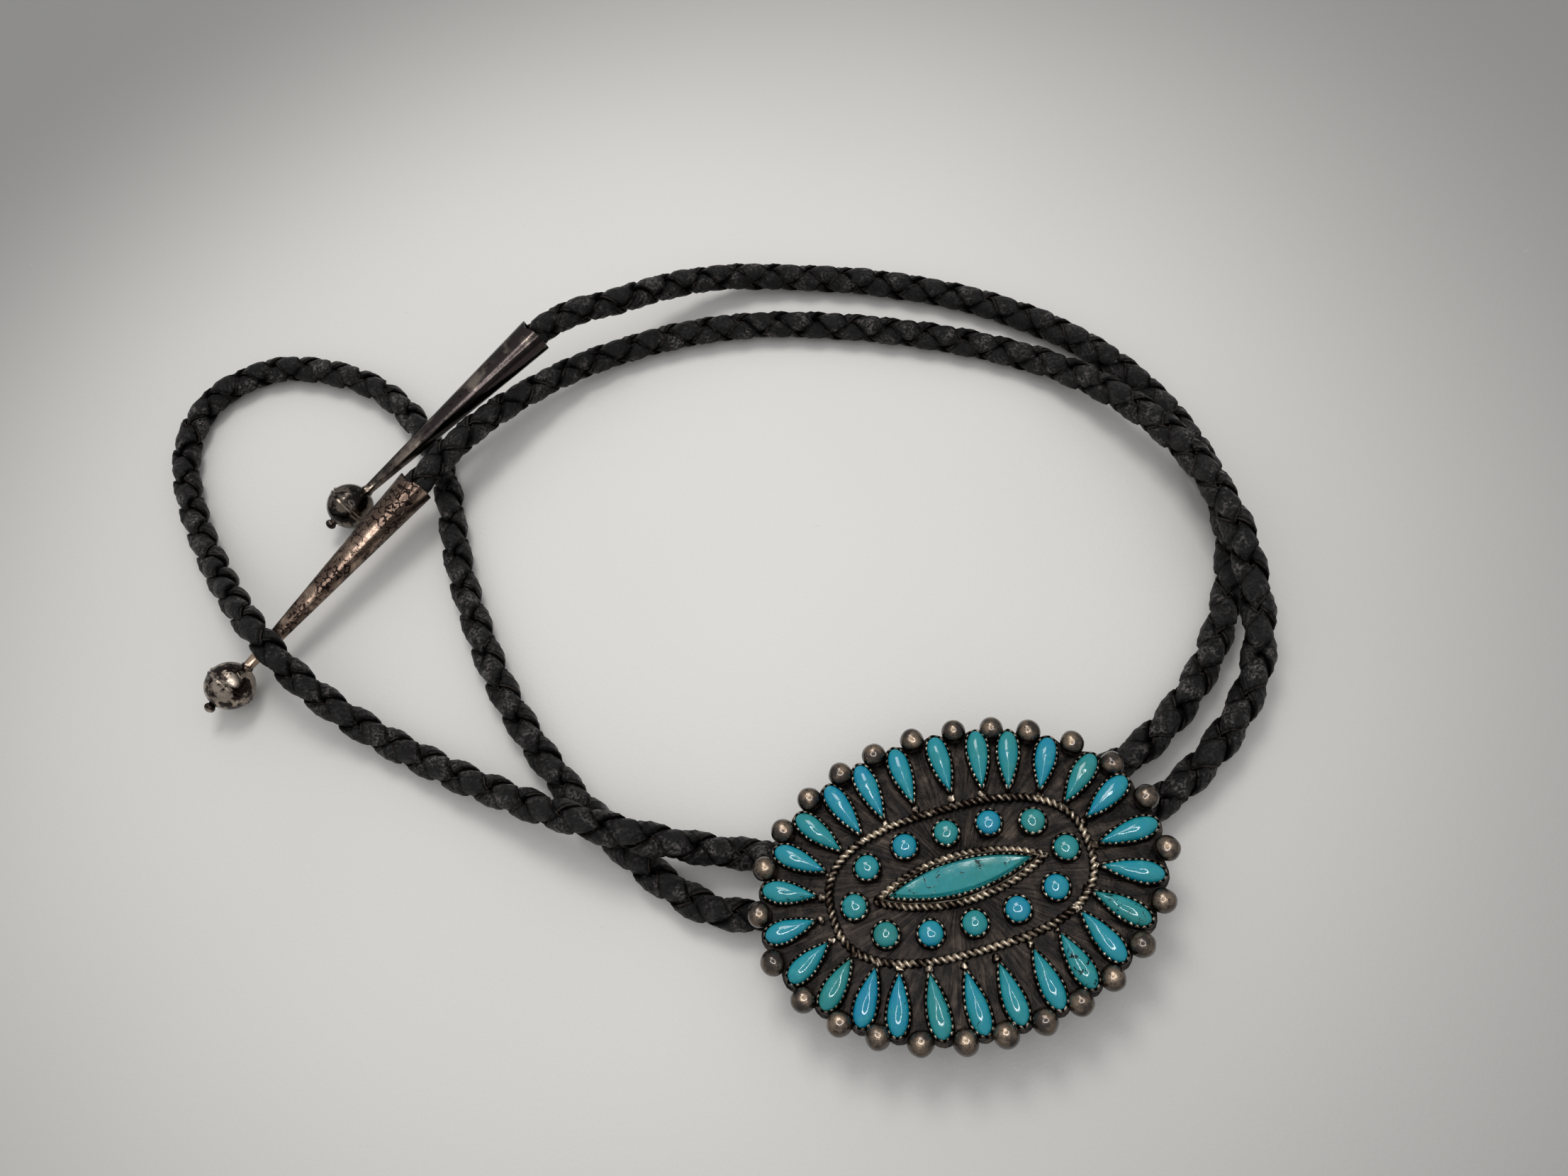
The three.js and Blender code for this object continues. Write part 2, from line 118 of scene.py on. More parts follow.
class Finish:
    """A material under construction, around one Principled shader."""

    def __init__(self, name, **fixed):
        self.material = bpy.data.materials.new(name)
        self.material.use_nodes = True
        self.tree = self.material.node_tree
        self.shader = self.tree.nodes["Principled BSDF"]
        for socket, value in fixed.items():
            self.feed(socket.replace("_", " "), value)

    def add(self, kind, settings, values, output=0):
        """Adds a node: its settings first, then the values or links of its sockets."""
        node = self.tree.nodes.new(kind)
        for name, value in settings.items():
            if name == "stops":
                node.color_ramp.elements.remove(node.color_ramp.elements[1])
                node.color_ramp.elements[0].position = value[0][0]
                node.color_ramp.elements[0].color = value[0][1]
                for position, colour in value[1:]:
                    node.color_ramp.elements.new(position).color = colour
            else:
                setattr(node, name, value)
        pairs = values.items() if isinstance(values, dict) else enumerate(values)
        for socket, value in pairs:
            if isinstance(value, Wire):
                self.tree.links.new(value.socket, node.inputs[socket])
            else:
                node.inputs[socket].default_value = value
        return Wire(self, node.outputs[output])

    def feed(self, socket, value):
        if isinstance(value, Wire):
            self.tree.links.new(value.socket, self.shader.inputs[socket])
        else:
            self.shader.inputs[socket].default_value = value

    def place(self, stretch=(1, 1, 1)):
        """Object coordinates in metres, stretched along the frame's axes."""
        point = self.add("ShaderNodeTexCoord", {}, {}, "Object")
        return self.add("ShaderNodeMapping", {}, {"Vector": point, "Scale": stretch})

    def noise(self, point, scale, detail, roughness=0.5, distortion=0.0):
        values = {"Vector": point, "Scale": scale, "Detail": detail}
        values.update({"Roughness": roughness, "Distortion": distortion})
        return self.add("ShaderNodeTexNoise", {}, values)

    def mix(self, share, first, second):
        """The first colour where share is 0, and the second where it is 1."""
        values = {0: share, 6: first, 7: second}
        return self.add("ShaderNodeMix", {"data_type": "RGBA"}, values, 2)

    def bump(self, height, distance, strength=1.0):
        values = {"Strength": strength, "Distance": distance, "Height": height}
        return self.add("ShaderNodeBump", {}, values)

    def part(self, point, axis):
        """One coordinate of a point: 0, 1 or 2 for X, Y or Z."""
        return self.add("ShaderNodeSeparateXYZ", {}, {"Vector": point}, axis)

    def distance_from(self, spot):
        """How far the shaded point lies from a spot, in metres."""
        settings = {"operation": "DISTANCE"}
        return self.add("ShaderNodeVectorMath", settings, {0: self.place(), 1: spot}, 1)


def fresh(kind, **sizes):
    """Adds a primitive while nothing else is selected."""
    bpy.ops.object.select_all(action="DESELECT")
    getattr(bpy.ops.mesh, f"primitive_{kind}_add")(**sizes)
    return bpy.context.object


table = fresh("plane", size=TABLE_SIZE)
table.name = "table_top"

paper = Finish("pale_table", Roughness=0.62)
scuffs = paper.noise(paper.place((1, 3.0, 1)), 160, 3, 0.6).clear(0.72, 0.8)
tooth = paper.noise(paper.place(), 1600, 4, 0.7)
cloud = paper.noise(paper.place(), 9, 2)
# Painted pool of light: the colour darkens with the distance from the bright spot, and darker still
# far out
from_painted_light_spot = paper.distance_from(TABLE_PAINTED_LIGHT_SPOT)
painted_dimness = from_painted_light_spot.clear(*TABLE_PAINTED_DIM_BETWEEN) * 0.8 + cloud * 0.2
white = paper.mix(painted_dimness, tone(TABLE_WHITE), tone(TABLE_PAINTED_DIM))
white = paper.mix(from_painted_light_spot.clear(*TABLE_PAINTED_FALLOFF_BETWEEN), white, tone(TABLE_PAINTED_FALLOFF))
paper.feed("Base Color", paper.mix(scuffs * 0.5, white, tone(TABLE_SCUFF)))
paper.feed("Normal", paper.bump(tooth, 0.00006))
table.data.materials.append(paper.material)


# Light: a pale room that is brighter overhead, a soft light from beyond the tie, and a
# ring lamp beside the lens. The lamp only shows in what is glossy: it draws the bright
# rings on the balls and the stones.
ROOM_COLOUR = (0.98, 0.99, 1.0)
ROOM_AT_HORIZON = 0.36
ROOM_OVERHEAD = 0.80
SOFT_LIGHT = {"place": (0.0, 0.34, 0.54), "size": 0.22, "power": 1.1}
SOFT_LIGHT_COLOUR = (1.0, 0.985, 0.96)
SOFT_LIGHT_AIM = Vector((0.0, 0.04, 0.0))
RING_LAMP = {"inner": 0.061, "outer": 0.070, "power": 24.0, "from_lens": (0.012, 0.048, 0)}

world = bpy.data.worlds.new("room")
world.use_nodes = True
sky = world.node_tree.nodes["Background"]
sky.inputs["Color"].default_value = (*ROOM_COLOUR, 1)
direction = world.node_tree.nodes.new("ShaderNodeTexCoord")
steepness = world.node_tree.nodes.new("ShaderNodeSeparateXYZ")
fade = world.node_tree.nodes.new("ShaderNodeMapRange")
fade.inputs["To Min"].default_value = ROOM_AT_HORIZON
fade.inputs["To Max"].default_value = ROOM_OVERHEAD
world.node_tree.links.new(direction.outputs["Generated"], steepness.inputs[0])
world.node_tree.links.new(steepness.outputs["Z"], fade.inputs["Value"])
world.node_tree.links.new(fade.outputs["Result"], sky.inputs["Strength"])
bpy.context.scene.world = world
bpy.context.scene.view_settings.view_transform = "Standard"

soft_data = bpy.data.lights.new("soft_light", "AREA")
soft_data.size = SOFT_LIGHT["size"]
soft_data.energy = SOFT_LIGHT["power"]
soft_data.color = SOFT_LIGHT_COLOUR
soft_light = bpy.data.objects.new("soft_light", soft_data)
bpy.context.scene.collection.objects.link(soft_light)
soft_light.location = SOFT_LIGHT["place"]
away = SOFT_LIGHT_AIM - soft_light.location
soft_light.rotation_euler = away.to_track_quat("-Z", "Y").to_euler()

lamp = fresh("circle", vertices=48, radius=RING_LAMP["outer"], fill_type="NGON")
lamp.name = "ring_lamp"
bpy.ops.object.mode_set(mode="EDIT")
bpy.ops.mesh.select_all(action="SELECT")
bpy.ops.mesh.inset(thickness=RING_LAMP["outer"] - RING_LAMP["inner"])
bpy.ops.mesh.delete(type="FACE")
bpy.ops.object.mode_set(mode="OBJECT")
lamp.location = CAMERA_PLACE + Vector(RING_LAMP["from_lens"])
lamp.rotation_mode = "QUATERNION"
lamp.rotation_quaternion = camera.rotation_quaternion
lamp.visible_camera = False
lamp.visible_diffuse = False
lamp.visible_shadow = False
glow = Finish("lamp_glow", Base_Color=(0, 0, 0, 1), Emission_Color=(1, 1, 1, 1))
glow.feed("Emission Strength", RING_LAMP["power"])
lamp.data.materials.append(glow.material)


# The cord: four flat black leather laces in a round four-strand braid, one run of
# about 0.87 m. It lies on the table and passes twice through the clip.
BRAID_PITCH = 0.0138
LACE_WIDTH = 0.00425
LACE_THICKNESS = 0.0011
LACE_MIDDLE_RADIUS = 0.00145
LACE_WAVE = 0.00058
LACE_LAY_RADIUS = 0.0021
ROUTE_STEPS = 30
ROWS_PER_PITCH = 24

# How far a lace strays, as a share of its width or thickness, or in metres, and how much
# its edges stand up where it lies on top
WIDTH_DRIFT = 0.07
THICKNESS_DRIFT = 0.10
SIDE_DRIFT = 0.00018
LIFT_DRIFT = 0.00006
TILT_DRIFT = 0.00010
EDGE_CURL = 0.00008

# The route in millimetres, the same as the solid's
ROUTE = [
    (-44.55, 112.4, 12.15),
    (-41.3, 113.9, 12.75),
    (-36.2, 115.1, 12.9),
    (-27.6, 116.7, 11.0),
    (-20.1, 119.8, 8.0),
    (-10.3, 121.3, 5.2),
    (-1.1, 120.1, 3.3),
    (18.6, 111.4, 2.7),
    (36.8, 98.7, 2.7),
    (50.4, 82.8, 2.7),
    (57.7, 63.4, 2.7),
    (57.6, 43.5, 2.7),
    (48.0, 25.4, 2.75),
    (32.1, 12.6, 3.1),
    (14.0, 8.9, 3.6),
    (-14.0, 8.9, 3.6),
    (-30.5, 13.6, 3.7),
    (-46.3, 20.3, 8.5),
    (-64.8, 33.4, 4.4),
    (-81.7, 47.9, 3.1),
    (-91.1, 57.7, 6.9),
    (-97.6, 67.9, 9.95),
    (-109.2, 90.3, 4.4),
    (-114.7, 108.5, 2.75),
    (-115.0, 119.0, 2.7),
    (-111.2, 127.7, 2.7),
    (-103.4, 131.7, 2.7),
    (-94.0, 131.4, 2.7),
    (-76.6, 119.4, 2.7),
    (-67.1, 99.1, 2.75),
    (-65.2, 72.0, 2.75),
    (-59.3, 45.0, 2.7),
    (-46.9, 20.4, 2.7),
    (-33.8, 5.8, 2.9),
    (-14.0, 1.8, 3.6),
    (14.0, 1.8, 3.6),
    (33.5, 5.0, 3.2),
    (50.4, 18.0, 4.8),
    (55.9, 36.0, 8.6),
    (55.3, 53.0, 8.6),
    (50.4, 68.0, 6.6),
    (40.9, 83.3, 3.2),
    (18.0, 99.5, 2.75),
    (-10.0, 110.7, 2.85),
    (-36.5, 111.0, 3.6),
    (-56.0, 101.0, 8.0),
    (-66.5, 93.1, 8.6),
    (-71.7, 89.3, 8.09),
]

# A lace's section, from one edge over its grain side to the other edge and back below:
# the share of its half width, and of its thickness. The crown is its highest point.
LACE_SECTION = [
    (-1.0, -0.18), (-0.95, 0.20), (-0.66, 0.36), (0.0, 0.50), (0.66, 0.36), (0.95, 0.20),
    (1.0, -0.18), (0.90, -0.42), (0.4, -0.48), (-0.4, -0.48), (-0.90, -0.42),
]
LACE_CROWN = 3


def smooth_line(corners, steps):
    """A centripetal Catmull-Rom curve through the corners."""
    ends = np.vstack([2 * corners[0] - corners[1], corners, 2 * corners[-1] - corners[-2]])
    share = np.linspace(0, 1, steps, endpoint=False)[:, None]
    line = []
    for before, here, there, after in zip(ends, ends[1:], ends[2:], ends[3:]):
        four = (before, here, there, after)
        gaps = [np.linalg.norm(b - a) ** 0.5 for a, b in zip(four, four[1:])]
        chord = (there - here) / gaps[1]
        leave = (here - before) / gaps[0] - (there - before) / (gaps[0] + gaps[1]) + chord
        arrive = chord - (after - here) / (gaps[1] + gaps[2]) + (after - there) / gaps[2]
        leave, arrive = leave * gaps[1], arrive * gaps[1]
        turn = 2 * (here - there) + leave + arrive
        bend = -turn - here + there - leave
        line.append(here + leave * share + bend * share**2 + turn * share**3)
    return np.vstack([*line, corners[-1:]])


route = smooth_line(np.array(ROUTE) / 1000, ROUTE_STEPS)
run = np.r_[0, np.cumsum(np.linalg.norm(np.diff(route, axis=0), axis=1))]
rows = round(run[-1] / BRAID_PITCH * ROWS_PER_PITCH)
stations = np.linspace(0, run[-1], rows + 1)
middle = np.stack([np.interp(stations, run, route[:, axis]) for axis in range(3)], axis=1)
ahead = np.gradient(middle, stations, axis=0)
ahead /= np.linalg.norm(ahead, axis=1)[:, None]
side = np.empty_like(middle)
side[0] = np.cross(ahead[0], (0, 0, 1))
for row in range(1, rows + 1):
    side[row] = side[row - 1] - ahead[row] * (side[row - 1] @ ahead[row])
side /= np.linalg.norm(side, axis=1)[:, None]
above = np.cross(side, ahead)

chance = np.random.default_rng(11)


def drift(gap):
    """A smooth random number along the cord, between -1 and 1."""
    knots = np.arange(-gap, run[-1] + 2 * gap, gap)
    values = chance.uniform(-1, 1, len(knots))
    blend = np.interp(stations, knots, np.arange(len(knots)))
    first = np.floor(blend).astype(int)
    share = blend - first
    share = share * share * (3 - 2 * share)
    return values[first] * (1 - share) + values[first + 1] * share


pitch_angle = 2 * math.pi / BRAID_PITCH
slant = math.atan(pitch_angle * LACE_LAY_RADIUS)
across, up = np.array(LACE_SECTION).T
lace_points = []
lace_faces = []
lace_uv = []
count = len(LACE_SECTION)
for hand in (1, -1):
    for phase in (0.0, math.pi):
        half_width = LACE_WIDTH / 2 * (1 + WIDTH_DRIFT * drift(0.006))[:, None]
        reach = across[None, :] * half_width + SIDE_DRIFT * drift(0.004)[:, None]
        along = stations[:, None] - reach * math.sin(slant)
        reach_angle = reach * math.cos(slant) / LACE_LAY_RADIUS
        turn = hand * (pitch_angle * stations[:, None] + reach_angle) + phase
        other = np.cos(turn + hand * pitch_angle * along)
        wave = other if phase == 0 else -other
        wave = hand * wave * (1.5 - 0.5 * wave**2)
        thickness = LACE_THICKNESS * (1 + THICKNESS_DRIFT * drift(0.005))[:, None]
        radius = LACE_MIDDLE_RADIUS + LACE_WAVE * wave + up[None, :] * thickness
        radius += LIFT_DRIFT * drift(0.003)[:, None]
        radius += TILT_DRIFT * across[None, :] * drift(0.005)[:, None]
        radius += EDGE_CURL * across[None, :] ** 2 * np.clip(wave, 0, 1)
        along = np.clip(along, 0, run[-1])
        points = np.zeros((rows + 1, count, 3))
        for axis in range(3):
            centre = np.interp(along, stations, middle[:, axis])
            sideways = np.interp(along, stations, side[:, axis])
            upwards = np.interp(along, stations, above[:, axis])
            points[..., axis] = centre + radius * (np.cos(turn) * sideways + np.sin(turn) * upwards)
        start = sum(len(part) for part in lace_points)
        lace_points.append(points.reshape(-1, 3))
        for row in range(rows):
            for step in range(count):
                corners = [(row, step), (row, step + 1), (row + 1, step + 1), (row + 1, step)]
                order = corners if hand > 0 else corners[::-1]
                lace_faces.append([start + r * count + s % count for r, s in order])
                lace_uv += [(stations[r] * 100, s / count) for r, s in order]
        ends = [start + step for step in range(count)]
        last = [start + rows * count + step for step in range(count)]
        lace_faces += [ends[::-1] if hand > 0 else ends, last if hand > 0 else last[::-1]]
        lace_uv += [(0, 0)] * (2 * count)

braid_mesh = bpy.data.meshes.new("braid")
braid_mesh.from_pydata(np.vstack(lace_points).tolist(), [], lace_faces)
braid_mesh.uv_layers.new(name="lace")
braid_mesh.uv_layers["lace"].data.foreach_set("uv", np.array(lace_uv).ravel())
braid = bpy.data.objects.new("braid", braid_mesh)
bpy.context.scene.collection.objects.link(braid)
bpy.ops.object.select_all(action="DESELECT")
braid.select_set(True)
bpy.context.view_layer.objects.active = braid
bpy.ops.object.shade_smooth_by_angle(angle=math.radians(38))

lace = Finish("black_lace")
uv = lace.add("ShaderNodeUVMap", {"uv_map": "lace"}, {})
from_crown = abs(lace.part(uv, 1) * count - LACE_CROWN)
rim = (0.5 - abs(from_crown - 2.0)).clear(0.0, 0.45)
crest = (1.9 - from_crown).clear(0.0, 1.2)
scuffed = lace.noise(lace.place(), 420, 4, 0.65)
pebble = lace.noise(lace.place(), 2100, 5, 0.7)
lengthways = lace.add("ShaderNodeMapping", {}, {"Vector": uv, "Scale": (3.0, 1.2, 1)})
crease = lace.noise(lengthways, 5.0, 5, 0.65)
patch = lace.noise(lace.place(), 230, 2, 0.5)
black = lace.mix(crease.clear(0.35, 0.7), tone((3, 3, 4)), tone((20, 19, 19)))
# Painted highlight, partly wear too: a light grey speckle along the crest of each lace, standing
# for the glint of its grain
crest_wear_and_highlight = crest * (patch.clear(0.46, 0.62) * 0.6 + 0.16)
crest_wear_and_highlight = crest_wear_and_highlight * scuffed.clear(0.36, 0.62) * pebble.clear(0.45, 0.6)
black = lace.mix(crest_wear_and_highlight, black, tone((118, 112, 110)))
# Partly wear and partly a painted highlight: a lighter broken line along the edges of each lace
rim_wear_and_highlight = rim * scuffed.clear(0.44, 0.6) * 0.6
lace.feed("Base Color", lace.mix(rim_wear_and_highlight, black, tone((80, 74, 70))))
lace.feed("Specular IOR Level", crest * 0.15 + 0.02)
lace.feed("Roughness", 0.18 + pebble * 0.3)
lace.feed("Normal", lace.bump(pebble * 0.4 + crease * 0.6, 0.0008))
braid_mesh.materials.append(lace.material)

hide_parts("braided_cord")
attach(braid, "root")


# The slide's base plate: sheet silver 1 mm thick, sawn to a scalloped oval that swells
# round each pear stone and draws in behind each ball, then blackened in a bath. From
# here on a piece is modelled in millimetres, and settle() turns it into metres.
PLATE_BOTTOM = 6.5
PLATE_TOP = 7.5
PLATE_EDGE_AT_PEAR = 0.35
PLATE_EDGE_AT_BALL = -0.7
PLATE_COLUMNS_PER_PEAR = 8
PLATE_BEVEL = 0.16
EDGE_OVAL_HALF = (28.2, 20.8)

# How the maker set each pear stone, from the +X end and anticlockwise: its drift along
# the row as a share of the pitch, its lean in degrees, and its length as a share
PEARS = [
    (0.0, 4, 1.03), (0.26, 2, 0.99), (0.17, -1, 1.0), (0.3, 4, 0.96), (0.28, 3, 1.05),
    (0.07, 2, 1.04), (0.1, 3, 1.05), (0.13, -2, 1.05), (0.09, -5, 1.06), (0.01, -4, 1.05),
    (0.02, 0, 1.0), (0.0, 1, 0.96), (0.0, -1, 0.93), (0.14, 0, 0.87), (0.3, 2, 0.89),
    (0.29, 1, 0.94), (0.2, 2, 0.98), (0.05, 5, 0.99), (0.08, 9, 1.04), (-0.01, 5, 1.03),
    (-0.16, 1, 1.02), (-0.25, -4, 1.01), (-0.39, -6, 0.98), (-0.48, -7, 1.0),
    (-0.41, 1, 1.01), (-0.26, 2, 1.01),
]


class Oval:
    """A closed curve between an ellipse (power 2) and a rounded box, told off by length."""

    def __init__(self, half_length, half_width, power=2.0):
        self.half = np.array((half_length, half_width))
        self.power = power
        angle = np.linspace(0, 2 * math.pi, 4801)
        circle = np.stack([np.cos(angle), np.sin(angle)], axis=1)
        self.line = self.half * np.sign(circle) * abs(circle) ** (2 / power)
        steps = np.linalg.norm(np.diff(self.line, axis=0), axis=1)
        self.run = np.r_[0, np.cumsum(steps)]

    def place(self, share, outwards=0.0):
        """The point at a share of the length, moved outwards, and the outward angle."""
        along = (share % 1) * self.run[-1]
        point = np.array([np.interp(along, self.run, self.line[:, axis]) for axis in (0, 1)])
        slope = np.sign(point) * abs(point / self.half) ** (self.power - 1) / self.half
        outward = math.atan2(slope[1], slope[0])
        point = point + outwards * np.array((math.cos(outward), math.sin(outward)))
        return point, outward


def ring_at(outline, height):
    """A flat outline as points in space, at one height or at a height for each."""
    return np.column_stack([outline, np.broadcast_to(height, len(outline))])


def wall(name, rings):
    """A circle shaped to the first ring of points and extruded through the others."""
    piece = fresh("circle", vertices=len(rings[0]))
    piece.name = name
    for corner, point in zip(piece.data.vertices, rings[0]):
        corner.co = point
    for before, after in zip(rings, rings[1:]):
        bpy.ops.object.mode_set(mode="EDIT")
        bpy.ops.mesh.extrude_region_move()
        bpy.ops.object.mode_set(mode="OBJECT")
        for corner in piece.data.vertices:
            if corner.select:
                nearest = np.linalg.norm(before - np.array(corner.co), axis=1).argmin()
                corner.co = after[nearest]
    return piece


def close(piece):
    """Closes a piece's openings and turns all its faces outwards."""
    bpy.ops.object.mode_set(mode="EDIT")
    bpy.ops.mesh.select_all(action="SELECT")
    bpy.ops.mesh.fill_holes(sides=0)
    bpy.ops.mesh.normals_make_consistent(inside=False)
    bpy.ops.object.mode_set(mode="OBJECT")


def finish_with(piece, kind, **settings):
    """Adds a modifier and applies it."""
    bpy.context.view_layer.objects.active = piece
    modifier = piece.modifiers.new(kind.lower(), kind)
    for name, value in settings.items():
        setattr(modifier, name, value)
    bpy.ops.object.modifier_apply(modifier=modifier.name)


noise.seed_set(7)  # or else noise_vector takes its offsets from the clock


def uneven(piece, reach, size):
    """Moves the corners a little, as work by hand does. Neighbours move together."""
    for corner in piece.data.vertices:
        corner.co += noise.noise_vector(corner.co / size) * reach


def settle(piece, node, finish, crease=40):
    """Turns a finished piece into metres and lets it stand for its CAD node."""
    bpy.ops.object.select_all(action="DESELECT")
    piece.select_set(True)
    bpy.context.view_layer.objects.active = piece
    bpy.ops.object.shade_smooth_by_angle(angle=math.radians(crease))
    piece.scale = (0.001, 0.001, 0.001)
    bpy.ops.object.transform_apply(location=True, rotation=True, scale=True)
    piece.data.materials.clear()
    piece.data.materials.append(finish.material)
    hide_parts(node)
    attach(piece, "root")


edge_oval = Oval(*EDGE_OVAL_HALF)
plate_outline = []
for index, (drift_here, _, _) in enumerate(PEARS):
    drift_next = PEARS[(index + 1) % len(PEARS)][0]
    for column in range(PLATE_COLUMNS_PER_PEAR):
        step = column / PLATE_COLUMNS_PER_PEAR
        swell = (1 + math.cos(2 * math.pi * step)) / 2
        outwards = PLATE_EDGE_AT_BALL + (PLATE_EDGE_AT_PEAR - PLATE_EDGE_AT_BALL) * swell
        share = (index + drift_here + (1 + drift_next - drift_here) * step) / len(PEARS)
        plate_outline.append(edge_oval.place(share, outwards)[0])
plate_rings = [ring_at(plate_outline, height) for height in (PLATE_BOTTOM, PLATE_TOP)]
plate = wall("slide_plate", plate_rings)
close(plate)
finish_with(plate, "BEVEL", width=PLATE_BEVEL, segments=2, limit_method="ANGLE", angle_limit=1.0)

blackened = Finish("blackened_silver", Metallic=0.8)
point = blackened.place()
x_part, y_part = blackened.part(point, 0), blackened.part(point, 1)
spoke = y_part.math("ARCTAN2", y_part, x_part)
reach = (x_part * x_part + y_part * y_part * 1.8) ** 0.5
streak_point = blackened.add("ShaderNodeCombineXYZ", {}, {0: spoke * 22.0, 1: reach * 150.0})
streaks = blackened.noise(streak_point, 1.0, 4, 0.65, 0.6)
lumps = blackened.noise(point, 420, 5, 0.65, 0.6)
relief = streaks * 0.5 + lumps * 0.5
dark = blackened.mix(relief.clear(0.42, 0.62), tone((17, 14, 13)), tone((52, 45, 40)))
blackened.feed("Base Color", blackened.mix(relief.clear(0.56, 0.7) * 0.5, dark, tone((96, 85, 76))))
blackened.feed("Roughness", 0.28 + lumps * 0.34)
blackened.feed("Normal", blackened.bump(relief, 0.00045, 0.9))
settle(plate, "silver_slide", blackened)


# Balls round the slide's edge: 26 grains of silver melted round, soldered into the dips
# of the plate between the pears. Tarnished brown, lighter on top and darker lower down:
# partly tarnish and rubbing, partly painted shade.
BALL_DIAMETER = 3.5
BALL_RISE = 0.9
SEAT_INSET = 0.45
FULL_TURN = 6.3


def seat_of(index):
    """Where a pear's outer end lies on the plate, as a matrix; its point looks inwards."""
    drift_here, lean, _ = PEARS[index]
    outer_end, outward = edge_oval.place((index + drift_here) / len(PEARS), -SEAT_INSET)
    turn = Matrix.Rotation(outward + math.radians(lean), 4, "Z")
    return Matrix.Translation((*outer_end, 0)) @ turn


def copy_of(piece, matrix):
    """A copy with its own mesh, moved by a matrix."""
    twin = piece.copy()
    twin.data = piece.data.copy()
    bpy.context.scene.collection.objects.link(twin)
    twin.data.transform(matrix)
    return twin


def joined(parts, name):
    """Several pieces as one."""
    bpy.ops.object.select_all(action="DESELECT")
    for part in parts:
        part.select_set(True)
    bpy.context.view_layer.objects.active = parts[0]
    bpy.ops.object.join()
    parts[0].name = name
    return parts[0]


luck = np.random.default_rng(5)
pattern_ball = fresh("uv_sphere", segments=28, ring_count=14, radius=BALL_DIAMETER / 2)
balls = []
for index, (drift_here, _, _) in enumerate(PEARS):
    drift_next = PEARS[(index + 1) % len(PEARS)][0]
    share = (index + drift_here + index + 1 + drift_next) / 2 / len(PEARS)
    x, y = edge_oval.place(share)[0]
    squash = Matrix.Diagonal((*luck.uniform(0.96, 1.02, 2), luck.uniform(0.93, 0.99), 1))
    spin = Matrix.Rotation(luck.uniform(0, FULL_TURN), 4, "Z")
    dip = Matrix.Translation((x, y, PLATE_TOP + BALL_RISE))
    balls.append(copy_of(pattern_ball, dip @ squash @ spin))
bpy.data.objects.remove(pattern_ball)
edge_balls = joined(balls, "edge_balls")
uneven(edge_balls, 0.09, 1.6)

tarnished = Finish("tarnished_silver", Metallic=0.9, Coat_Weight=0.8, Coat_Roughness=0.05)
point = tarnished.place()
height = tarnished.part(point, 2)
cloud = tarnished.noise(point, 420, 4, 0.62)
pits = tarnished.noise(point, 1900, 3, 0.6)
brown = tarnished.mix(cloud.clear(0.38, 0.62), tone((45, 37, 32)), tone((120, 103, 86)))
# Painted shade, partly tarnish too: each ball darkens from near its top to below its middle, which
# darkens its edges
brown = tarnished.mix(height.clear(0.0084, 0.0100), tone((30, 25, 22)), brown)
tarnished.feed("Base Color", tarnished.mix(pits.clear(0.56, 0.68), brown, tone((42, 35, 31))))
tarnished.feed("Roughness", 0.2 + cloud * 0.2)
tarnished.feed("Normal", tarnished.bump(pits * 0.5 + cloud * 0.5, 0.00016, 0.7))
settle(edge_balls, "silver_slide", tarnished, 80)


# Cups: a thin strip of silver bent round every stone and soldered to the plate. Its
# upper edge is filed into teeth, which are pressed in over the stone and are rubbed
# bright. The long stone's cup has a plain bright rim outside the teeth.
CUP_MARGIN = 0.3
CUP_THICKNESS = 0.34
CUP_SHOULDER = 8.5
TOOTH_VALLEY = 8.5
TOOTH_HEIGHT = 0.74
TOOTH_LEAN = 0.26
TOOTH_SHAPE = (0.0, 0.75, 1.0, 0.75)
PEAR_LENGTH = 8.0
PEAR_WIDTH = 2.8
PEAR_TEETH = 22
ROUND_TEETH = 12
LONG_TEETH = 50
LONG_STATIONS = 160
ROUND_COUNT = 12
ROUND_DIAMETER = 3.3
ROUND_OVAL = (15.0, 6.4, 2.6)
LONG_HALF = (10.0, 2.15)

# The long cup's rim: how far outside the stone, and at what height
RIM_STEPS = ((0.46, 8.3), (0.50, 8.62), (0.60, 8.7), (0.70, 8.6), (0.72, PLATE_TOP))

# The largest value of sin(a) sin(a / 2), which gives the drop its width
DROP_PEAK = 0.7698


def spaced(line, count):
    """Points at equal steps round a closed line."""
    closed = np.vstack([line, line[:1]])
    walked = np.r_[0, np.cumsum(np.linalg.norm(np.diff(closed, axis=0), axis=1))]
    stops = np.arange(count) / count * walked[-1]
    return np.stack([np.interp(stops, walked, column) for column in closed.T], axis=1)


def grown(outline, margin):
    """An anticlockwise outline moved outwards, by one margin or by one for each point."""
    along = np.roll(outline, -1, axis=0) - np.roll(outline, 1, axis=0)
    outward = np.stack([along[:, 1], -along[:, 0]], axis=1)
    outward /= np.linalg.norm(outward, axis=1)[:, None]
    return outline + np.broadcast_to(margin, len(outline))[:, None] * outward


def pear_outline(count):
    """A drop, round at the origin and pointed at the far end towards -X."""
    angle = np.linspace(0, 2 * math.pi, 721)[:-1]
    x = -PEAR_LENGTH * (1 + np.cos(angle)) / 2
    y = -PEAR_WIDTH / 2 * np.sin(angle) * np.sin(angle / 2) / DROP_PEAK
    return spaced(np.stack([x, y], axis=1), count)


def round_outline(count):
    angle = np.arange(count) * 2 * math.pi / count
    return ROUND_DIAMETER / 2 * np.stack([np.cos(angle), np.sin(angle)], axis=1)


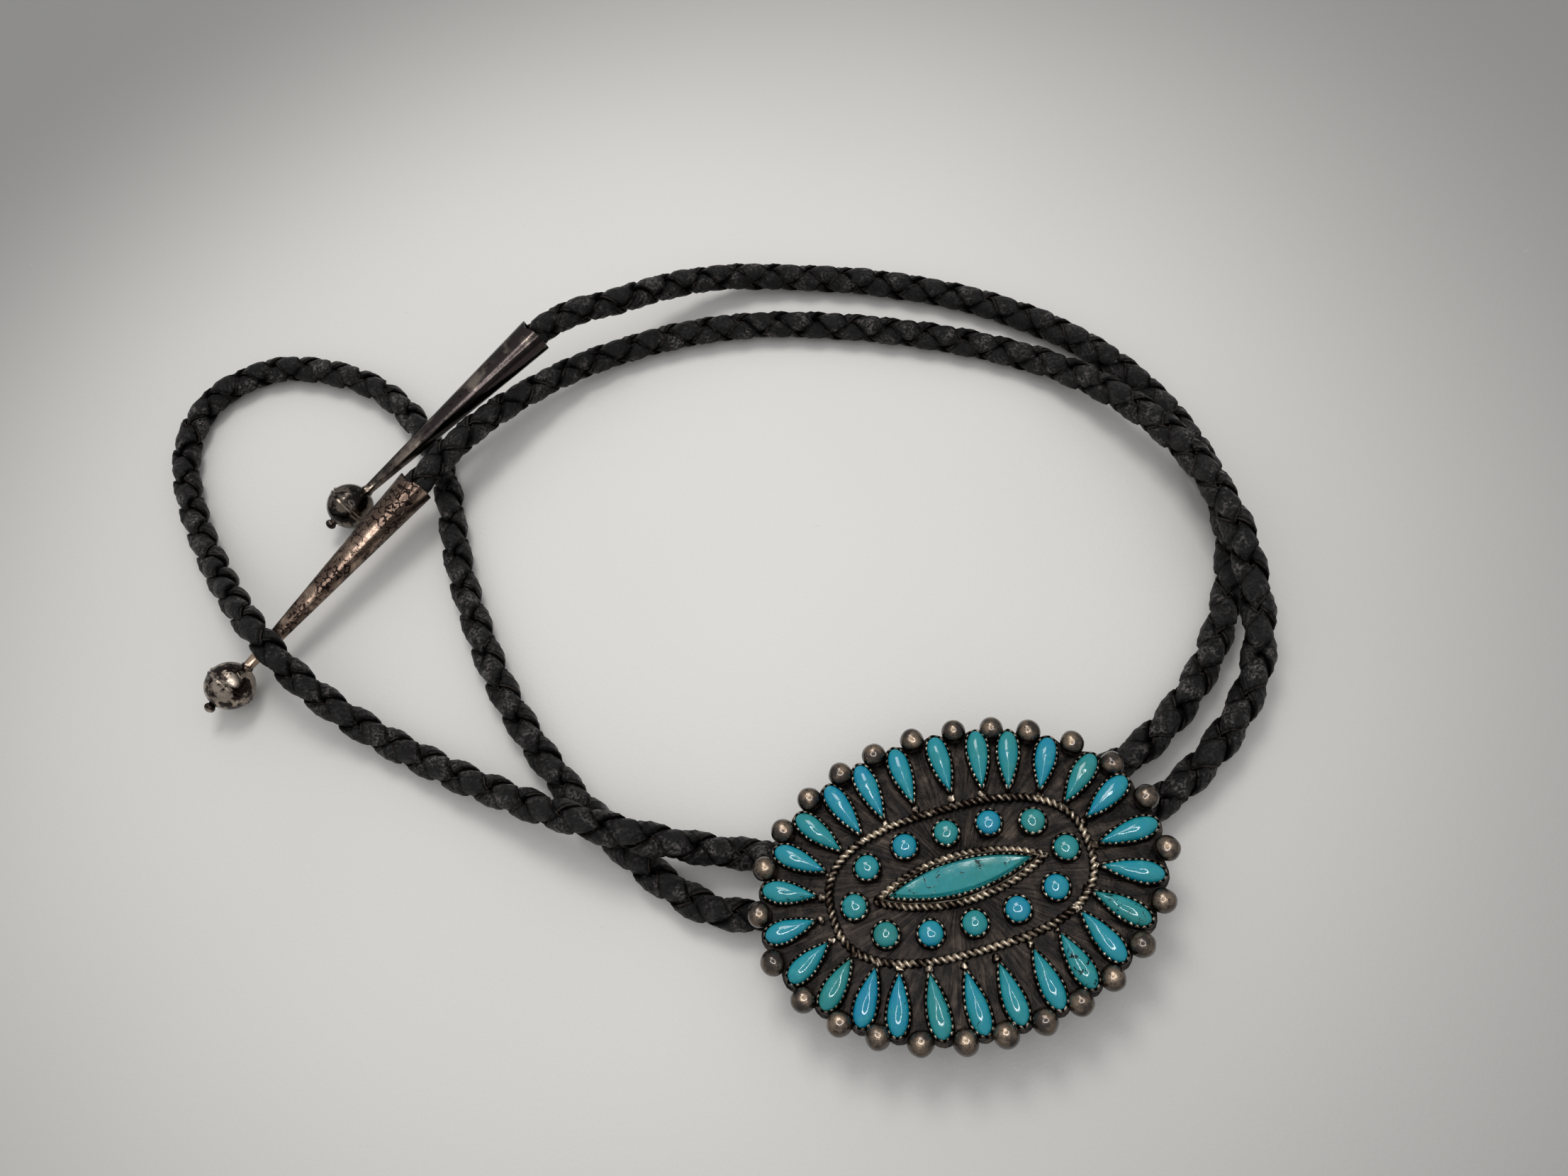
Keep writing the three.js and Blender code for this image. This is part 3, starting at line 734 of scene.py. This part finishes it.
def long_outline(margin, count):
    """Two shallow arcs that meet in points."""
    half_length = LONG_HALF[0] + 2 * margin
    half_width = LONG_HALF[1] + margin
    radius = (half_length**2 + half_width**2) / (2 * half_width)
    angle = math.asin(half_length / radius) * np.linspace(1, -1, 181)[:-1]
    arc = np.stack([radius * np.sin(angle), radius * np.cos(angle) - radius + half_width], axis=1)
    return spaced(np.vstack([arc, -arc]), count)


def cup(name, outline):
    """One cup round an outline that has a column for each part of a tooth."""
    bite = np.resize(TOOTH_SHAPE, len(outline))
    rings = [
        ring_at(grown(outline, CUP_MARGIN), PLATE_TOP - 0.05),
        ring_at(grown(outline, CUP_MARGIN), CUP_SHOULDER),
        ring_at(grown(outline, CUP_MARGIN - TOOTH_LEAN * bite), TOOTH_VALLEY + TOOTH_HEIGHT * bite),
    ]
    piece = wall(name, rings)
    finish_with(piece, "SOLIDIFY", thickness=CUP_THICKNESS, offset=0.0, use_even_offset=True)
    finish_with(piece, "SUBSURF", levels=1, render_levels=1)
    return piece


pattern_cup = cup("pear_cup", pear_outline(PEAR_TEETH * len(TOOTH_SHAPE)))
pear_cups = []
for index, (_, _, length) in enumerate(PEARS):
    stretch = Matrix.Diagonal((length, 1, 1, 1))
    pear_cups.append(copy_of(pattern_cup, seat_of(index) @ stretch))
bpy.data.objects.remove(pattern_cup)
pear_cups = joined(pear_cups, "pear_cups")
uneven(pear_cups, 0.10, 0.9)

round_oval = Oval(*ROUND_OVAL)
pattern_cup = cup("round_cup", round_outline(ROUND_TEETH * len(TOOTH_SHAPE)))
round_cups = []
for index in range(ROUND_COUNT):
    x, y = round_oval.place(index / ROUND_COUNT)[0]
    turn = Matrix.Rotation(luck.uniform(0, FULL_TURN), 4, "Z")
    round_cups.append(copy_of(pattern_cup, Matrix.Translation((x, y, 0)) @ turn))
bpy.data.objects.remove(pattern_cup)
round_cups = joined(round_cups, "round_cups")
uneven(round_cups, 0.12, 0.9)

long_cup = cup("long_cup", long_outline(0.0, LONG_TEETH * len(TOOTH_SHAPE)))
uneven(long_cup, 0.08, 0.9)
rings = [ring_at(long_outline(margin, LONG_STATIONS), height) for margin, height in RIM_STEPS]
long_rim = wall("long_rim", rings)
uneven(long_rim, 0.08, 1.3)

worn = Finish("worn_silver", Metallic=1.0)
point = worn.place()
height = worn.part(point, 2)
rub = worn.noise(point, 700, 3, 0.6)
soot = worn.noise(point, 2100, 3, 0.6)
lift = (height + rub * 0.0004).clear(0.00895, 0.00935)
silver = worn.mix(rub.clear(0.3, 0.7), tone((98, 86, 74)), tone((204, 192, 174)))
grey = worn.mix(lift, tone((30, 24, 21)), silver)
worn.feed("Base Color", worn.mix(soot.clear(0.6, 0.72) * 0.7, grey, tone((40, 33, 29))))
worn.feed("Roughness", 0.26 + soot * 0.24)
worn.feed("Normal", worn.bump(soot, 0.00005, 0.7))
for cups in (pear_cups, round_cups, long_cup):
    settle(cups, "silver_slide", worn, 50)

polished = Finish("rubbed_silver", Metallic=1.0)
point = polished.place()
height = polished.part(point, 2)
rub = polished.noise(point, 620, 3, 0.6)
lift = (height + rub * 0.0003).clear(0.00815, 0.0088)
silver = polished.mix(rub.clear(0.3, 0.7), tone((140, 126, 108)), tone((216, 206, 190)))
polished.feed("Base Color", polished.mix(lift, tone((44, 36, 31)), silver))
polished.feed("Roughness", 0.24 + rub * 0.2)
settle(long_rim, "silver_slide", polished, 60)


# Twisted wires: two strands of silver twisted together, bent to an oval round the round
# stones and to a lens round the long stone's cup, and soldered down.
STRAND_PITCH = 0.95
WIRE_RADIUS = 0.68
WIRE_WAIST = 0.44
WIRE_SIDES = 14
WIRE_STEPS_PER_PITCH = 7
WIRE_OVAL = (18.2, 9.9, 2.6)
WIRE_OVAL_POINTS = 200
LONG_WIRE_MARGIN = 1.0


def twisted_wire(name, line):
    """A two-lobed section, screwed along its length and bent round a closed line."""
    closed = np.vstack([line, line[:1]])
    length = np.linalg.norm(np.diff(closed, axis=0), axis=1).sum()
    pitches = round(length / STRAND_PITCH)
    strand = fresh("circle", vertices=WIRE_SIDES, radius=WIRE_RADIUS)
    strand.name = name
    for corner in strand.data.vertices:
        lobe = abs(math.cos(math.atan2(corner.co.y, corner.co.x))) ** 0.8
        corner.co *= WIRE_WAIST + (1 - WIRE_WAIST) * lobe
    steps = pitches * WIRE_STEPS_PER_PITCH
    screw = {"angle": math.pi * pitches, "screw_offset": length, "axis": "Z"}
    screw.update({"steps": steps, "render_steps": steps, "use_merge_vertices": False})
    finish_with(strand, "SCREW", **screw)
    path = bpy.data.objects.new("wire_path", bpy.data.curves.new("wire_path", "CURVE"))
    path.data.dimensions = "3D"
    spline = path.data.splines.new("POLY")
    spline.points.add(len(line) - 1)
    spline.points.foreach_set("co", np.column_stack([line, np.ones(len(line))]).ravel())
    spline.use_cyclic_u = True
    bpy.context.scene.collection.objects.link(path)
    finish_with(strand, "CURVE", object=path, deform_axis="POS_Z")
    bpy.data.objects.remove(path)
    bpy.ops.object.mode_set(mode="EDIT")
    bpy.ops.mesh.select_all(action="SELECT")
    bpy.ops.mesh.remove_doubles(threshold=0.04)
    bpy.ops.mesh.normals_make_consistent(inside=False)
    bpy.ops.object.mode_set(mode="OBJECT")
    return strand


wire_height = PLATE_TOP + WIRE_RADIUS / 2
wire_oval = Oval(*WIRE_OVAL)
oval_line = [wire_oval.place(step / WIRE_OVAL_POINTS)[0] for step in range(WIRE_OVAL_POINTS)]
long_line = long_outline(LONG_WIRE_MARGIN, LONG_STATIONS)
ring_wire = twisted_wire("ring_wire", ring_at(oval_line, wire_height))
long_wire = twisted_wire("long_wire", ring_at(long_line, wire_height))

strands = Finish("twisted_silver", Metallic=1.0)
point = strands.place()
height = strands.part(point, 2)
rub = strands.noise(point, 380, 4, 0.65)
soot = strands.noise(point, 1700, 3, 0.6)
lift = (height + rub * 0.0008).clear(0.0084, 0.00875)
silver = strands.mix(rub.clear(0.4, 0.66), tone((62, 53, 47)), tone((176, 163, 146)))
strands.feed("Base Color", strands.mix(lift, tone((32, 26, 23)), silver))
strands.feed("Roughness", 0.25 + soot * 0.25)
strands.feed("Normal", strands.bump(soot, 0.00005, 0.7))
settle(ring_wire, "silver_slide", strands, 60)
settle(long_wire, "silver_slide", strands, 60)


# Grains: a nugget of melted silver at each pear's point, run onto the twisted wire.
GRAIN_DIAMETER = 1.25
GRAIN_GAP = 0.45
GRAIN_RISE = 0.3
pattern_grain = fresh("ico_sphere", subdivisions=3, radius=GRAIN_DIAMETER / 2)
grains = []
for index, (_, _, length) in enumerate(PEARS):
    size = luck.uniform(0.82, 1.05)
    from_end = -(length * PEAR_LENGTH + GRAIN_GAP + GRAIN_DIAMETER / 4)
    shape = Matrix.Diagonal((size * luck.uniform(0.9, 1.2), size, size * luck.uniform(0.8, 1.1), 1))
    place = Matrix.Translation((from_end, 0, PLATE_TOP + GRAIN_RISE))
    spin = Matrix.Rotation(luck.uniform(0, FULL_TURN), 4, "X")
    grains.append(copy_of(pattern_grain, seat_of(index) @ place @ shape @ spin))
bpy.data.objects.remove(pattern_grain)
grains = joined(grains, "point_grains")
uneven(grains, 0.32, 0.55)
settle(grains, "silver_slide", strands, 60)


# Stones: turquoise cut flat below and domed above, each in its own cup. They run from
# bright blue to green; a few show dark specks of the rock that they come from.
SEAT_CLEARANCE = 0.15
GIRDLE = 8.8
DOME = 1.0
PEAR_BELLY = 0.36
PEAR_COLUMNS = 56
ROUND_COLUMNS = 36
LONG_COLUMNS = 96
DOME_STEPS = (0.16, 0.34, 0.54, 0.76, 1.0, 1.26, 1.45)

# The long stone's low flat dome: how far outside its outline, and how far up
LONG_STEPS = ((-0.05, 0.22), (-0.38, 0.66), (-0.50, 0.72), (-1.20, 0.735), (-1.80, 0.74))

# Each pear's colour, from 0 for blue to 1 for green, and how specked it is
PEAR_TINTS = [
    (0.40, 0.15), (0.22, 0.1), (0.66, 0.0), (0.18, 0.0), (0.62, 0.0), (0.58, 0.05), (0.40, 0.0),
    (0.34, 0.1), (0.16, 0.1), (0.10, 0.0), (0.62, 0.0), (0.30, 0.2), (0.46, 0.45), (0.26, 0.0),
    (0.42, 0.05), (0.82, 0.0), (0.12, 0.0), (0.16, 0.3), (0.62, 0.35), (0.40, 0.3), (0.52, 0.0),
    (0.50, 0.0), (0.55, 0.6), (0.28, 0.1), (0.74, 0.6), (0.42, 0.0),
]
ROUND_TINTS = [
    (0.66, 0.1), (0.82, 0.0), (0.16, 0.0), (0.70, 0.4), (0.14, 0.0), (0.46, 0.2), (0.56, 0.35),
    (0.90, 0.3), (0.2, 0.0), (0.72, 0.0), (0.10, 0.0), (0.2, 0.0),
]
LONG_TINT = (0.68, 0.45)


def domed(name, outline, belly):
    """A stone with a straight side up to its girdle, and a dome drawn in to its belly."""
    rings = [ring_at(outline, PLATE_TOP + SEAT_CLEARANCE), ring_at(outline, GIRDLE)]
    for angle in DOME_STEPS:
        drawn_in = belly + (outline - belly) * math.cos(angle)
        rings.append(ring_at(drawn_in, GIRDLE + DOME * math.sin(angle)))
    piece = wall(name, rings)
    close(piece)
    return piece


def paint(stone, tint, specks):
    """Keeps a stone's colour and its specks in its mesh."""
    for name, value in (("tint", tint), ("specks", specks)):
        attribute = stone.data.attributes.new(name, "FLOAT", "POINT")
        attribute.data.foreach_set("value", [value] * len(stone.data.vertices))


turquoise = Finish("turquoise_stone", IOR=1.5)
point = turquoise.place()
tint = turquoise.add("ShaderNodeAttribute", {"attribute_name": "tint"}, {}, "Fac")
specked = turquoise.add("ShaderNodeAttribute", {"attribute_name": "specks"}, {}, "Fac")
broad = turquoise.noise(point, 260, 2, 0.5)
fine = turquoise.noise(point, 1500, 4, 0.65)
blend = tint + (broad - 0.5) * 0.8 + (fine - 0.5) * 0.6
stops = [
    (0.0, tone((10, 132, 166))), (0.25, tone((18, 138, 158))), (0.5, tone((26, 136, 146))),
    (0.75, tone((34, 132, 134))), (1.0, tone((42, 120, 114))),
]
body = turquoise.add("ShaderNodeValToRGB", {"stops": stops}, {"Fac": blend})
veil = turquoise.noise(point, 750, 4, 0.65)
body = turquoise.mix(veil.clear(0.48, 0.72) * 0.35, body, tone((70, 168, 174)))
vein = turquoise.noise(point, 900, 5, 0.7, 0.6)
speck = (vein + specked * 0.24).clear(0.71, 0.76) * specked.clear(0.02, 0.3)
turquoise.feed("Base Color", turquoise.mix(speck, body, tone((16, 26, 26))))
turquoise.feed("Roughness", 0.05 + fine * 0.06 + speck * 0.2)
turquoise.feed("Specular IOR Level", 0.5 - speck * 0.4)
turquoise.feed("Normal", turquoise.bump(fine * 0.3 + broad * 0.7 - speck * 0.5, 0.00006, 0.5))

belly = np.array((-PEAR_BELLY * PEAR_LENGTH, 0))
pattern_stone = domed("pear_stone", pear_outline(PEAR_COLUMNS), belly)
for index, (_, _, length) in enumerate(PEARS):
    stone = copy_of(pattern_stone, seat_of(index) @ Matrix.Diagonal((length, 1, 1, 1)))
    stone.name = f"pear_cabochon_{index + 1:02d}"
    uneven(stone, 0.07, 1.7)
    paint(stone, *PEAR_TINTS[index])
    settle(stone, f"pear_stone_{index + 1:02d}", turquoise, 60)
bpy.data.objects.remove(pattern_stone)

pattern_stone = domed("round_stone", round_outline(ROUND_COLUMNS), np.zeros(2))
for index in range(ROUND_COUNT):
    x, y = round_oval.place(index / ROUND_COUNT)[0]
    stone = copy_of(pattern_stone, Matrix.Translation((x, y, 0)))
    stone.name = f"round_cabochon_{index + 1:02d}"
    uneven(stone, 0.07, 1.4)
    paint(stone, *ROUND_TINTS[index])
    settle(stone, f"round_stone_{index + 1:02d}", turquoise, 60)
bpy.data.objects.remove(pattern_stone)

heights = (PLATE_TOP + SEAT_CLEARANCE, GIRDLE)
rings = [ring_at(long_outline(0, LONG_COLUMNS), height) for height in heights]
rings += [ring_at(long_outline(out, LONG_COLUMNS), GIRDLE + rise) for out, rise in LONG_STEPS]
long_stone = wall("long_cabochon", rings)
close(long_stone)
uneven(long_stone, 0.03, 2.5)
paint(long_stone, *LONG_TINT)
settle(long_stone, "long_stone", turquoise, 24)


# The clip under the slide: an open channel of sheet silver with a middle wall, which
# the cord runs through twice. It keeps its solid and gets dull tarnished silver.
dull = Finish("dull_silver", Metallic=1.0)
smear = dull.noise(dull.place((1, 6, 6)), 260, 4, 0.6)
bloom = dull.noise(dull.place(), 240, 3, 0.6)
grey = dull.mix(bloom.clear(0.35, 0.7), tone((112, 102, 92)), tone((160, 152, 142)))
dull.feed("Base Color", dull.mix(smear.clear(0.5, 0.75) * 0.6, grey, tone((84, 75, 67))))
dull.feed("Roughness", 0.3 + smear * 0.25)
dull.feed("Normal", dull.bump(smear, 0.00006, 0.5))
for material_slot in bpy.data.objects["cord_clip"].material_slots:
    material_slot.material = dull.material


# The tips: each a long cone rolled from sheet silver, lapped along one side and with a
# shallow notch in its mouth, then a hollow ball in two halves with a raised double seam,
# and a grain at the end. One is dark and glossy, the other pinkish brown with broken
# dark lines.
TIP_SIDES = 60
TIP_LENGTH = 45.3
TIP_MOUTH_RADIUS = 3.25
TIP_NECK_RADIUS = 0.85
TIP_BALL_RADIUS = 4.0
TIP_SOCKET_DEPTH = 2.75
TIP_NOTCH = 0.7
TIP_NOTCH_SPREAD = 0.42
TIP_LAP = 0.10
TIP_SEAM_RISE = 0.28
TIP_SEAM_HALF_GAP = 0.42
TIP_SEAM_WIDTH = 0.17

# The tip's profile is told as a radius and a place along the axis, from the floor of its
# socket and over the mouth to the grain
TIP_MOUTH_PROFILE = ((2.85, TIP_SOCKET_DEPTH), (2.95, 0.12), (3.05, 0.0), (3.22, 0.06))
TIP_GRAIN_PROFILE = (
    (0.62, 0.15), (0.86, 0.45), (0.95, 0.8), (0.84, 1.15), (0.5, 1.42), (0.15, 1.52),
)

# Each tip's mouth and the middle of its ball
TIPS = [
    ("tip_over", (-43.3, 113.0, 12.4), (-83.0, 93.6, 4.5)),
    ("tip_under", (-69.6, 90.8, 8.3), (-106.3, 63.8, 4.5)),
]
OVER_BALL, UNDER_BALL = (tuple(part / 1000 for part in middle_of) for _, _, middle_of in TIPS)


def mottle_ball(finish, middle, cone, light, dark):
    """The cone's colour everywhere but on the ball, which is dark with light patches."""
    patches = finish.noise(finish.place(), 430, 4, 0.62).clear(0.46, 0.56)
    off_ball = finish.distance_from(middle).clear(0.0046, 0.0052)
    return finish.mix(off_ball, finish.mix(patches, tone(light), tone(dark)), cone)


profile = list(TIP_MOUTH_PROFILE)
neck_at = TIP_LENGTH - math.sqrt(TIP_BALL_RADIUS**2 - TIP_NECK_RADIUS**2)
for step in np.linspace(0.008, 0.985, 22):
    radius = TIP_MOUTH_RADIUS + (TIP_NECK_RADIUS - TIP_MOUTH_RADIUS) * step
    profile.append((radius, step * neck_at))
profile += [(1.0, neck_at - 0.35), (1.08, neck_at - 0.12)]
for angle in np.linspace(0.26, math.pi - 0.19, 34):
    along = -TIP_BALL_RADIUS * math.cos(angle)
    from_seam = (abs(along) - TIP_SEAM_HALF_GAP) / TIP_SEAM_WIDTH
    seam = TIP_SEAM_RISE * math.exp(-(from_seam**2))
    profile.append(((TIP_BALL_RADIUS + seam) * math.sin(angle), TIP_LENGTH + along))
ball_end = profile[-1][1]
profile += [(radius, ball_end + rise) for radius, rise in TIP_GRAIN_PROFILE]

angles = np.arange(TIP_SIDES) * 2 * math.pi / TIP_SIDES
rings = []
for radius, along in profile:
    notch = TIP_NOTCH * np.exp(-(((angles - math.pi / 2) / TIP_NOTCH_SPREAD) ** 2))
    notch *= max(0.0, 1 - along / TIP_SOCKET_DEPTH)
    lap = TIP_LAP * np.clip(1 - (angles - 0.6) % (2 * math.pi), 0, 1) * (along < neck_at - 1)
    circle = (radius + lap)[:, None] * np.stack([np.cos(angles), np.sin(angles)], axis=1)
    rings.append(ring_at(circle, along + notch))
pattern_tip = wall("cone_tip", rings)
close(pattern_tip)

glossy = Finish("dark_tip_silver", Metallic=1.0)
point = glossy.place()
cloud = glossy.noise(point, 150, 4, 0.6, 0.5)
fleck = glossy.noise(point, 900, 4, 0.65)
brown = glossy.mix(cloud.clear(0.52, 0.68), tone((56, 51, 50)), tone((116, 106, 98)))
brown = glossy.mix(fleck.clear(0.56, 0.68) * 0.7, brown, tone((30, 26, 25)))
mottled = mottle_ball(glossy, OVER_BALL, brown, (110, 101, 92), (38, 35, 34))
glossy.feed("Base Color", mottled)
glossy.feed("Roughness", 0.10 + fleck * 0.16)
glossy.feed("Normal", glossy.bump(fleck * 0.5 + cloud * 0.5, 0.00010, 0.5))

crackled = Finish("crackled_tip_silver", Metallic=1.0)
point = crackled.place()
cloud = crackled.noise(point, 190, 4, 0.6, 0.4)
fleck = crackled.noise(point, 1100, 4, 0.65)
cell = {"Vector": point, "Scale": 900.0}
crack = crackled.add("ShaderNodeTexVoronoi", {"feature": "DISTANCE_TO_EDGE"}, cell)
line = (0.14 - crack).clear(0.0, 0.07) * cloud.clear(0.46, 0.54) * fleck.clear(0.44, 0.5)
pink = crackled.mix(cloud.clear(0.3, 0.56), tone((168, 146, 129)), tone((90, 76, 68)))
brown = crackled.mix(line, pink, tone((34, 28, 26)))
mottled = mottle_ball(crackled, UNDER_BALL, brown, (156, 144, 132), (42, 36, 34))
crackled.feed("Base Color", mottled)
crackled.feed("Roughness", 0.16 + fleck * 0.2 + line * 0.2)
crackled.feed("Normal", crackled.bump(fleck * 0.3 - line, 0.00010, 0.6))

for (node, mouth, ball), finish in zip(TIPS, (glossy, crackled)):
    axis = Vector(ball) - Vector(mouth)
    turn = axis.to_track_quat("Z", "Y").to_matrix().to_4x4()
    tip = copy_of(pattern_tip, Matrix.Translation(mouth) @ turn)
    tip.name = f"cone_{node}"
    settle(tip, node, finish, 35)
bpy.data.objects.remove(pattern_tip)
